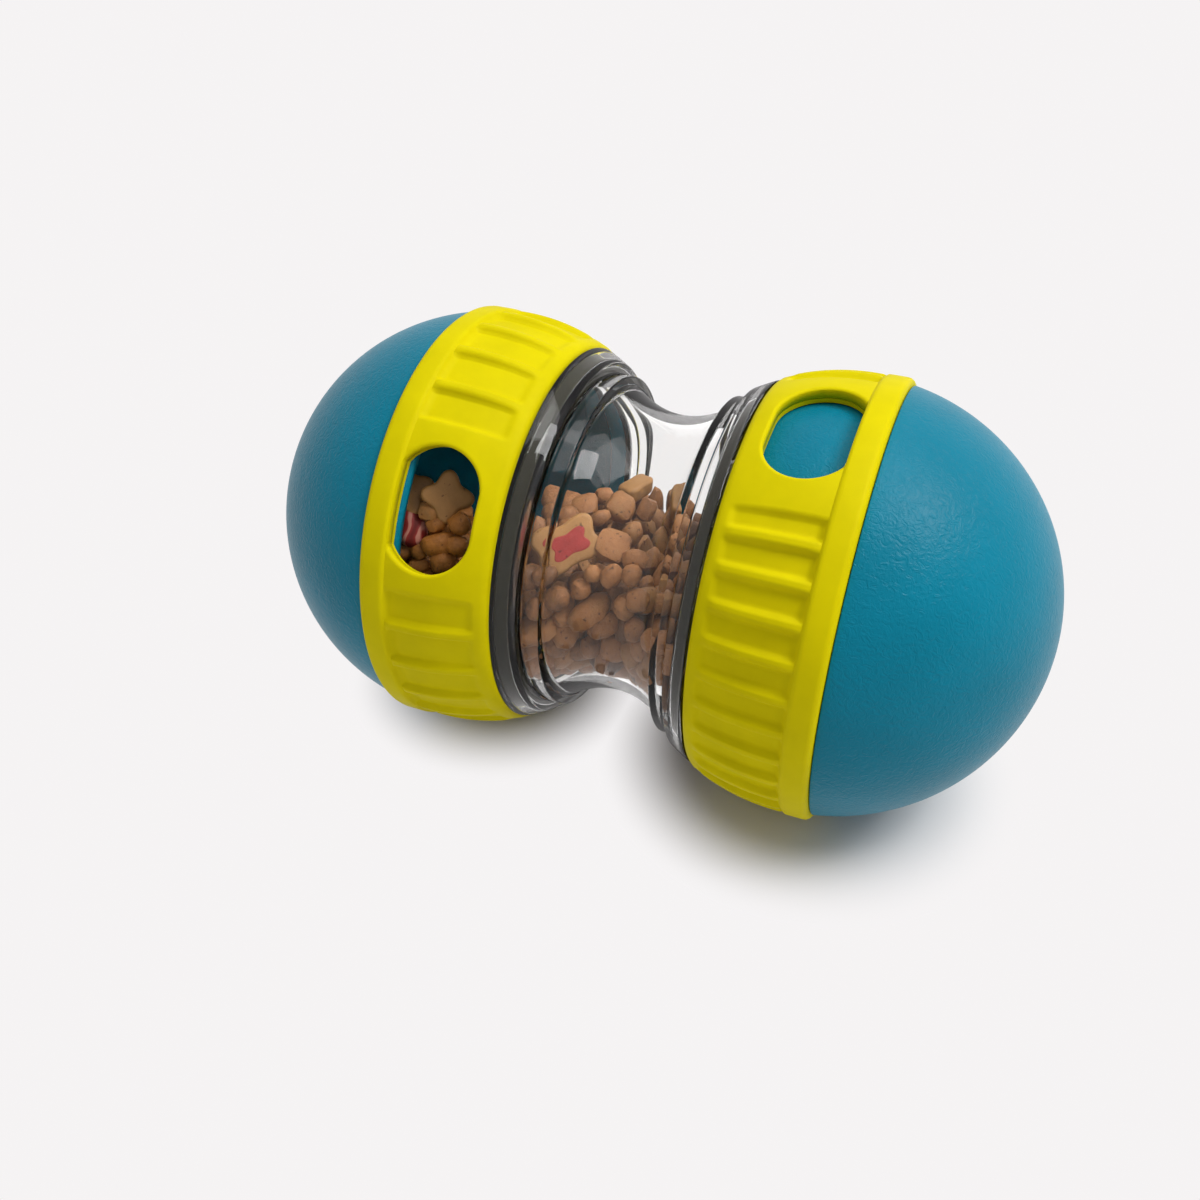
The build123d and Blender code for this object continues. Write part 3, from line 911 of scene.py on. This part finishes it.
def lump(bm, place, halves, turn, square, tone, dice):
    """A rough treat with these half sizes, from boxy to round, with its own tone."""
    ball = bmesh.ops.create_icosphere(bm, subdivisions=2, radius=1)["verts"]
    away = 50
    seed = Vector(dice.uniform(-away, away, 3))
    bulges, bulge_rate = 0.16, 1.2
    dents, dent_rate = 0.09, 3
    layer = bm.verts.layers.float["tone"]
    for vert in ball:
        bulge = bulges * noise.noise(vert.co * bulge_rate + seed)
        rough = 1 + bulge + dents * noise.noise(vert.co * dent_rate + seed)
        vert.co = Vector([math.copysign(abs(value) ** square, value) for value in vert.co]) * rough
        vert[layer] = tone
    grow = Matrix.Diagonal((*halves, 1))
    bmesh.ops.transform(bm, matrix=Matrix.Translation(place) @ turn @ grow, verts=ball)


def seen(angle, lean):
    """Turn of a treat whose long side makes this angle in the photograph and whose face leans upwards."""
    right, up, toward = view_axes()
    along = right * math.cos(math.radians(angle)) + up * math.sin(math.radians(angle))
    out = toward + Vector((0, 0, lean))
    out = (out - along * out.dot(along)).normalized()
    return Matrix((along, out.cross(along), out)).transposed().to_4x4()


def lobed(bm, lobes, size, lobe_share, thickness, stretch, edge, matrix):
    """A flat biscuit with rounded lobes, its sizes in millimetres."""
    size, thickness, edge = size * MM, thickness * MM, edge * MM
    ring = bmesh.ops.create_circle(bm, cap_ends=True, radius=1, segments=12 * lobes)["verts"]
    for vert in ring:
        turn = math.atan2(vert.co.y, vert.co.x)
        reach = size * (1 + lobe_share * math.cos(lobes * turn + math.pi * (lobes % 2 == 0)))
        vert.co = Vector((reach * math.cos(turn) * stretch[0], reach * math.sin(turn) * stretch[1], 0))
    faces = list({face for vert in ring for face in vert.link_faces})
    grown = bmesh.ops.extrude_face_region(bm, geom=faces)
    tops = [item for item in grown["geom"] if isinstance(item, bmesh.types.BMVert)]
    bmesh.ops.translate(bm, vec=(0, 0, thickness), verts=tops)
    every = ring + tops
    bmesh.ops.recalc_face_normals(bm, faces=list({f for v in every for f in v.link_faces}))
    rims = {e for v in every for e in v.link_edges if abs(e.verts[0].co.z - e.verts[1].co.z) < edge / 10}
    made = bmesh.ops.bevel(
        bm, geom=list(rims), offset=edge, offset_type="OFFSET", segments=3, profile=0.5,
        affect="EDGES", clamp_overlap=True, material=-1,
    )
    every = {v for v in every if v.is_valid} | set(made["verts"])
    every |= {v for f in made["faces"] for v in f.verts}
    bmesh.ops.transform(bm, matrix=matrix @ Matrix.Translation((0, 0, -thickness / 2)), verts=list(every))


def lying(x, y, z, normal, turn):
    """Matrix of a biscuit at a place over the roll axis, its face along the normal, turned in degrees."""
    face = Vector(normal).to_track_quat("Z", "Y").to_matrix().to_4x4()
    spin = Matrix.Rotation(math.radians(turn), 4, "Z")
    return Matrix.Translation((x * MM, y * MM, AXIS + z * MM)) @ face @ spin


class FEEDER_OT_treats(bpy.types.Operator):
    """Fills the tube and the balls with dry treats."""

    bl_idname = "feeder.treats"
    bl_label = "Treats"

    # Shapes of the loose treats: half sizes as shares of the radius, and how boxy (1 is round)
    shapes = (
        (1.1, 1.0, 0.85, 0.95), (1.5, 0.85, 0.8, 0.85), (1.15, 0.95, 0.9, 0.9), (1.2, 1.05, 0.6, 0.7),
        (1.0, 0.95, 0.9, 1.0), (1.3, 1.0, 0.7, 0.75),
    )
    # Tones of the loose treats, from dark to pale, and how much they overfill the balls that settled
    tones = (0.15, 0.3, 0.4, 0.5, 0.6, 0.7)
    swell = 1.06
    # Boxiness and thickness of the placed treats, and how far a slab's face leans upwards
    boxiness = {"bean": 0.85, "round": 0.95, "slab": 0.62}
    thickness = {"bean": 0.9, "round": 0.92, "slab": 0.62}
    slab_lean = 0.9
    # Treats that the photograph shows. For one at the front wall, on the heap or in the window: pixels
    # across and down to its middle, and its width and height in pixels. For one given directly: its place
    # over the roll axis and half sizes in millimetres. Then the long side's angle in degrees, the shape
    # and the tone
    tube_picks = (
        ("wall", 590, 610, 53, 30, 35, "bean", 0.55), ("wall", 629, 605, 27, 27, 0, "round", 0.6),
        ("wall", 606, 624, 37, 25, 20, "bean", 0.4), ("wall", 565, 631, 30, 30, 0, "round", 0.5),
        ("wall", 555, 596, 30, 27, 10, "round", 0.2), ("wall", 581, 588, 22, 22, 0, "round", 0.45),
        ("wall", 613, 575, 28, 22, 30, "bean", 0.5), ("wall", 593, 573, 18, 18, 0, "round", 0.55),
        ("wall", 635, 575, 22, 22, 0, "round", 0.5), ("wall", 637, 555, 30, 21, -10, "bean", 0.45),
        ("wall", 612, 541, 40, 34, -20, "slab", 0.5),
        ("wall", 545, 574, 24, 18, 30, "round", 0.15),
        ("heap", 622, 508, 39, 33, -30, "slab", 0.55), ("heap", 601, 495, 26, 20, 0, "bean", 0.5),
        ("heap", 599, 518, 26, 17.5, 20, "bean", 0.45), ("heap", 580, 505, 35, 28, 10, "slab", 0.45),
        ("heap", 558, 500, 32, 27, -10, "slab", 0.45), ("heap", 655, 512, 27, 27, 60, "slab", 0.45),
        ("heap", 640, 530, 29, 26, 40, "round", 0.55), ("wall", 540, 605, 26, 26, 0, "round", 0.2),
        ("wall", 643, 600, 24, 30, 80, "bean", 0.5), ("wall", 618, 645, 36, 28, -10, "bean", 0.45),
        ("wall", 592, 643, 26, 24, 0, "round", 0.35), ("wall", 640, 628, 28, 26, 30, "round", 0.4),
        ("wall", 530, 575, 26, 30, 70, "round", 0.1), ("set", -20.5, -7.5, 10.4, 3.2, 2.8, 20, "bean", 0.35),
        ("set", -22.3, -15.0, 11.0, 3.0, 2.8, 60, "round", 0.3),
        ("set", -17.5, -12.5, 11.0, 3.2, 2.6, 0, "bean", 0.45),
    )
    window_picks = (
        ("window", 430, 512, 20, 22, 70, "slab", 0.75),
        ("window", 436, 523, 22, 16, 20, "bean", 0.3),
        ("window", 440, 542, 42, 24, 10, "bean", 0.45),
        ("window", 443, 563, 32, 26, 20, "bean", 0.35),
        ("window", 419, 567, 24, 16, 0, "bean", 0.45),
        ("window", 402, 550, 32, 21, 30, "bean", 0.3),
        ("window", 416, 549, 22, 19, 60, "round", 0.4),
        ("window", 458, 546, 22, 26, 70, "round", 0.4), ("window", 460, 524, 24, 24, 0, "round", 0.35),
        ("window", 430, 580, 30, 20, 0, "bean", 0.3),
    )
    # How far some of them were then moved, by pixel: millimetres along, across and up
    moves = {
        (637, 555): (0, 1.5, -2.4), (612, 541): (0, 1.4, -2.6), (558, 500): (1.3, 0, 0),
        (640, 530): (0, -2, 0), (436, 523): (0, 0, -0.4), (440, 542): (0, 0, -0.5),
        (443, 563): (0, 0.4, 0), (419, 567): (0, 0.4, 0), (402, 550): (0, 0.4, -0.6),
        (416, 549): (0.6, 0.4, -0.5), (430, 580): (0, 0.7, 0),
    }
    # Biscuit shapes: lobes, size in millimetres, depth of the lobes as a share, thickness, stretch along
    # and across, and the rounded edge's width
    biscuit_shapes = {
        "front": (4, 6.1, 0.16, 4, (1.2, 0.88), 0.9),
        "small": (4, 4.6, 0.12, 4, (1.2, 0.85), 0.9),
        "filling": (4, 3.7, 0.2, 4.3, (1.3, 0.78), 0.4),
        "star": (4, 4.9, 0.2, 4.4, (1, 1), 0.9),
        "red": (2, 3.9, 0.12, 5.4, (1, 1), 1.9),
    }
    # Biscuits: place over the roll axis in millimetres, direction of the face, and turn in degrees
    front_biscuit = (-12.4, -22.4, 14.6, (0.326, -0.747, 0.579), 24)
    tube_biscuits = ((8, 12, 7.5, (0.1, -0.1, 1), 70), (-10, 17, 5.5, (-0.1, 0.1, 1), 20))
    left_biscuits = (
        (*sighted((447, 497), 37, (0, 0, 0)), (0.45, -0.7, 0.55), 32),
        (*sighted((407, 491), 37, (0.2, 0.2, -0.3)), (0.3, -0.6, 0.7), 60),
    )
    red_biscuit = (*sighted((408, 529), 38.5, (0, 1, -0.5)), (0.35, -0.65, 0.6), 20)

    # How many loose treats fall into the tube and into a ball, their mean radius, how far along the
    # feeder they reach and the seed of their draws
    tube_loose = (545, 3.15 * MM, (-25.6 * MM, 25.6 * MM), 11)
    ball_loose = (560, 3.4 * MM, (26.4 * MM, 86 * MM), 23)
    # Pixels to a millimetre at the tube and at the window
    tube_scale = 4.6
    window_scale = 4.8

    def execute(self, context):
        tilt = math.radians(sizes().tube_tilt)
        level = sizes().treat_level
        rise, fall, fall_start = 2.5 * MM, 0.3, 4 * MM
        front = self.placed(self.tube_picks, self.tube_scale)
        x, y, z = self.front_biscuit[:3]
        behind, biscuit_half = 1, 5.4
        places, radii = self.settled(front, ((x, y, z - behind, biscuit_half),), tilt, self.tube_loose, level)
        low = places[:, 2] < level + rise - fall * np.maximum(places[:, 0] - fall_start, 0)
        self.heap("tube", "kibble", "tube", tilted(places[low], tilt), radii[low], 12, front)
        tilt = math.radians(sizes().heap_tilt)
        ball_top = 1.5 * MM
        biscuit_half = 4
        for name, side in SIDES:
            front, solid = [], []
            if side < 0:
                front = self.placed(self.window_picks, self.window_scale)
                solid = [(*spot[:3], biscuit_half) for spot in (*self.left_biscuits, self.red_biscuit)]
            places, radii = self.settled(front, solid, tilt, self.ball_loose, 0, side)
            low = places[:, 2] < ball_top
            heaped = tilted(places[low], tilt)
            self.heap(name, "warm_kibble", f"{name}_ball", heaped, radii[low], 24 + side, front)
        self.biscuits()
        return {"FINISHED"}

    def placed(self, picks, scale):
        """Treats of a table in millimetres, to a tenth: place over the roll axis, half sizes and looks."""
        rows = []
        for kind, *place, width, height, angle, shape, tone in picks:
            if kind != "set":
                width, height = width / scale / 2, height / scale / 2
                found, move = FINDERS[kind](place, height * MM), self.moves.get(tuple(place), (0, 0, 0))
                place = [round(value / MM, 1) + by for value, by in zip(found, move)]
            rows.append((*(round(value, 1) for value in (*place, width, height)), angle, shape, tone))
        return rows

    def settled(self, front, solid, tilt, loose, level, side=1):
        """Loose treats settled round the placed ones, in the frame of the tilted heap."""
        count, radius, reach, seed = loose
        fixed = [(x, y, z, (a + b) / 2) for x, y, z, a, b, *_ in front] + list(solid)
        held = np.array(fixed or [(0, 0, 0, 0)])[: len(fixed)] * MM
        still = np.hstack([tilted(held[:, :3], -tilt) * (side, 1, 1), held[:, 3:]])
        places, radii = settle(count, *reach, radius, level, still, seed)
        return places * (side, 1, 1), radii

    def heap(self, name, material, body, places, radii, seed, front):
        """Dresses settled places with rough lumps of several shapes, and adds the placed treats."""
        dice = np.random.default_rng(seed)
        bm = bmesh.new()
        bm.verts.layers.float.new("tone")
        for place, radius in zip(places + np.array((0, 0, AXIS)), radii):
            *shares, square = self.shapes[dice.integers(len(self.shapes))]
            turn = Matrix.Rotation(dice.uniform(0, TURN), 4, Vector(dice.normal(size=3)).normalized())
            halves = [radius * self.swell * share for share in shares]
            lump(bm, Vector(place), halves, turn, square, dice.choice(self.tones), dice)
        for x, y, z, a, b, angle, shape, tone in front:
            halves = [value * MM for value in (a, b, min(a, b) * self.thickness[shape])]
            place = Vector((x * MM, y * MM, AXIS + z * MM))
            turn = seen(angle, self.slab_lean if shape == "slab" else 0)
            lump(bm, place, halves, turn, self.boxiness[shape], tone, dice)
        dress(keep(bm, f"treats_{name}"), material, "treat", body, f"{name}_treats")

    def biscuits(self):
        """Pale biscuits, one with a red filling and one red, on the heaps."""
        front, small = [("front", self.front_biscuit)], [("small", spot) for spot in self.tube_biscuits]
        stars = [("star", spot) for spot in self.left_biscuits]
        self.bake("biscuits_tube", "biscuit", "tube", front + small, "tube_biscuits")
        self.bake("biscuit_filling", "filling", "tube", [("filling", self.front_biscuit)])
        self.bake("biscuits_left", "biscuit", "left_ball", stars, "left_biscuits")
        self.bake("biscuit_red", "red_treat", "left_ball", [("red", self.red_biscuit)])

    def bake(self, name, material, body, spots, *nodes):
        """One piece of biscuits, each with its shape and where it lies."""
        bm = bmesh.new()
        for shape, spot in spots:
            lobed(bm, *self.biscuit_shapes[shape], lying(*spot))
        dress(keep(bm, name), material, "biscuit", body, *nodes)


# Stage


def looked_at(nodes, links):
    """1 for what the camera, a reflection or the clear tube shows, 0 for light that falls on the feeder."""
    path = nodes.new("ShaderNodeLightPath")
    seen_as = path.outputs["Is Camera Ray"]
    for kind in ("Is Glossy Ray", "Is Transmission Ray"):
        either = nodes.new("ShaderNodeMath")
        either.operation = "MAXIMUM"
        links.new(seen_as, either.inputs[0])
        links.new(path.outputs[kind], either.inputs[1])
        seen_as = either.outputs["Value"]
    return seen_as


class FEEDER_OT_stage(bpy.types.Operator):
    """Sets the floor, the soft studio light, the world and the camera."""

    bl_idname = "feeder.stage"
    bl_label = "Stage"

    background = (0.915, 0.897, 0.9, 1)
    # Each lamp's name, its place, the point it is aimed at, its size and its power
    lamps = (
        ("key_light", (0.72, 0.10, 1.02), (0.03, 0, 0.05), 0.42, 8),
        ("top_light", (0.25, 0.25, 1.3), (0, 0, 0.04), 0.8, 7.5),
    )

    def execute(self, context):
        self.floor()
        self.world()
        for lamp in self.lamps:
            self.lamp(*lamp)
        self.camera()
        return {"FINISHED"}

    def floor(self):
        """Wide pale floor under the feeder, with painted shade round each ball's stand."""
        # Distances from the middle of a ball's stand: inside the first the floor is grey paper, lit, which
        # keeps the shadow and adds painted shade round the ball; past the second it is as pale as the
        # background, and both are shorter on the left
        shadow_reach, white_reach, left_cut = 0.029, 0.053, 0.012
        bm = bmesh.new()
        bmesh.ops.create_grid(bm, x_segments=2, y_segments=2, size=6)
        floor = keep(bm, "floor")
        material, nodes, links, main = shader("floor_with_painted_shade")
        # Grey paper darker than the pale floor past the fade: round the balls this colour is painted shade
        main.inputs["Base Color"].default_value = (0.72, 0.711, 0.713, 1)
        main.inputs["Roughness"].default_value = 0.9
        main.inputs["Specular IOR Level"].default_value = 0.1
        place = nodes.new("ShaderNodeTexCoord")
        reach = []
        for _, side in SIDES:
            far = nodes.new("ShaderNodeVectorMath")
            far.operation = "DISTANCE"
            far.inputs[1].default_value = (side * BALL_OFFSET, 0, 0)
            links.new(place.outputs["Object"], far.inputs[0])
            wider = nodes.new("ShaderNodeMath")
            wider.inputs[1].default_value = left_cut if side < 0 else 0
            links.new(far.outputs["Value"], wider.inputs[0])
            reach.append(wider.outputs["Value"])
        nearest = nodes.new("ShaderNodeMath")
        nearest.operation = "MINIMUM"
        links.new(reach[0], nearest.inputs[0])
        links.new(reach[1], nearest.inputs[1])
        fade = nodes.new("ShaderNodeMapRange")
        fade.interpolation_type = "SMOOTHSTEP"
        fade.inputs["From Min"].default_value = shadow_reach
        fade.inputs["From Max"].default_value = white_reach
        links.new(nearest.outputs["Value"], fade.inputs["Value"])
        share = nodes.new("ShaderNodeMath")
        share.operation = "MULTIPLY"
        links.new(fade.outputs["Result"], share.inputs[0])
        links.new(looked_at(nodes, links), share.inputs[1])
        glow = nodes.new("ShaderNodeEmission")
        glow.inputs["Color"].default_value = self.background
        both = nodes.new("ShaderNodeMixShader")
        links.new(share.outputs["Value"], both.inputs["Fac"])
        links.new(main.outputs["BSDF"], both.inputs[1])
        links.new(glow.outputs["Emission"], both.inputs[2])
        links.new(both.outputs["Shader"], nodes["Material Output"].inputs["Surface"])
        floor.data.materials.append(material)

    def world(self):
        """White surroundings, brightest overhead, with the white background behind the floor."""
        world = bpy.data.worlds.new("studio")
        bpy.context.scene.world = world
        world.use_nodes = True
        nodes, links = world.node_tree.nodes, world.node_tree.links
        surround = nodes["Background"]
        surround.inputs["Color"].default_value = (0.95, 0.95, 0.96, 1)
        place = nodes.new("ShaderNodeTexCoord")
        axes = nodes.new("ShaderNodeSeparateXYZ")
        links.new(place.outputs["Generated"], axes.inputs["Vector"])
        rise = nodes.new("ShaderNodeMapRange")
        rise.inputs["From Min"].default_value = 0.05
        rise.inputs["From Max"].default_value = 0.75
        rise.inputs["To Min"].default_value = 0.2
        rise.inputs["To Max"].default_value = 0.6
        links.new(axes.outputs["Z"], rise.inputs["Value"])
        links.new(rise.outputs["Result"], surround.inputs["Strength"])
        behind = nodes.new("ShaderNodeBackground")
        behind.inputs["Color"].default_value = self.background
        both = nodes.new("ShaderNodeMixShader")
        links.new(looked_at(nodes, links), both.inputs["Fac"])
        links.new(surround.outputs["Background"], both.inputs[1])
        links.new(behind.outputs["Background"], both.inputs[2])
        links.new(both.outputs["Shader"], nodes["World Output"].inputs["Surface"])

    def lamp(self, name, place, target, size, power):
        """A square soft light aimed at a point."""
        light = bpy.data.lights.new(name, "AREA")
        light.shape = "SQUARE"
        light.size = size
        light.energy = power
        lamp = bpy.data.objects.new(name, light)
        bpy.context.scene.collection.objects.link(lamp)
        aim = (Vector(target) - Vector(place)).to_track_quat("-Z", "Y")
        lamp.matrix_world = Matrix.Translation(place) @ aim.to_matrix().to_4x4()

    def camera(self):
        """The photograph's view: direction, distance, shift of aim and lens."""
        data = bpy.data.cameras.new("view")
        data.lens = LENS
        data.sensor_width = SENSOR
        camera = bpy.data.objects.new("view", data)
        bpy.context.scene.collection.objects.link(camera)
        turn = (-view_axes()[2]).to_track_quat("-Z", "Y").to_matrix().to_4x4()
        camera.matrix_world = Matrix.Translation(camera_place()) @ turn
        bpy.context.scene.camera = camera
        bpy.context.scene.view_settings.view_transform = "Standard"


OPERATORS = (
    FEEDER_OT_stage, FEEDER_OT_domes, FEEDER_OT_sleeves, FEEDER_OT_collars, FEEDER_OT_tube,
    FEEDER_OT_seals, FEEDER_OT_treats,
)


class FEEDER_PT_parts(bpy.types.Panel):
    """Lists the feeder's sizes, colours and parts."""

    bl_idname = "FEEDER_PT_parts"
    bl_label = "Treat feeder"
    bl_space_type = "VIEW_3D"
    bl_region_type = "UI"
    bl_category = "Feeder"

    def draw(self, context):
        for group in (context.scene.feeder_sizes, context.scene.feeder_colours):
            for key in group.__annotations__:
                self.layout.prop(group, key)
        for operator in OPERATORS:
            self.layout.operator(operator.bl_idname)


CLASSES = (FeederSizes, FeederColours, *OPERATORS, FEEDER_PT_parts)


def register():
    """Registers the classes and hangs the settings on the scene."""
    for item in CLASSES:
        bpy.utils.register_class(item)
    bpy.types.Scene.feeder_sizes = PointerProperty(type=FeederSizes)
    bpy.types.Scene.feeder_colours = PointerProperty(type=FeederColours)


def unregister():
    """Takes the settings and the classes away again."""
    del bpy.types.Scene.feeder_colours
    del bpy.types.Scene.feeder_sizes
    for item in reversed(CLASSES):
        bpy.utils.unregister_class(item)


def main():
    """Makes the whole feeder."""
    register()
    for operator in OPERATORS:
        getattr(bpy.ops.feeder, operator.bl_idname.split(".")[1])()
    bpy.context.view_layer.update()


if __name__ == "__main__":
    main()
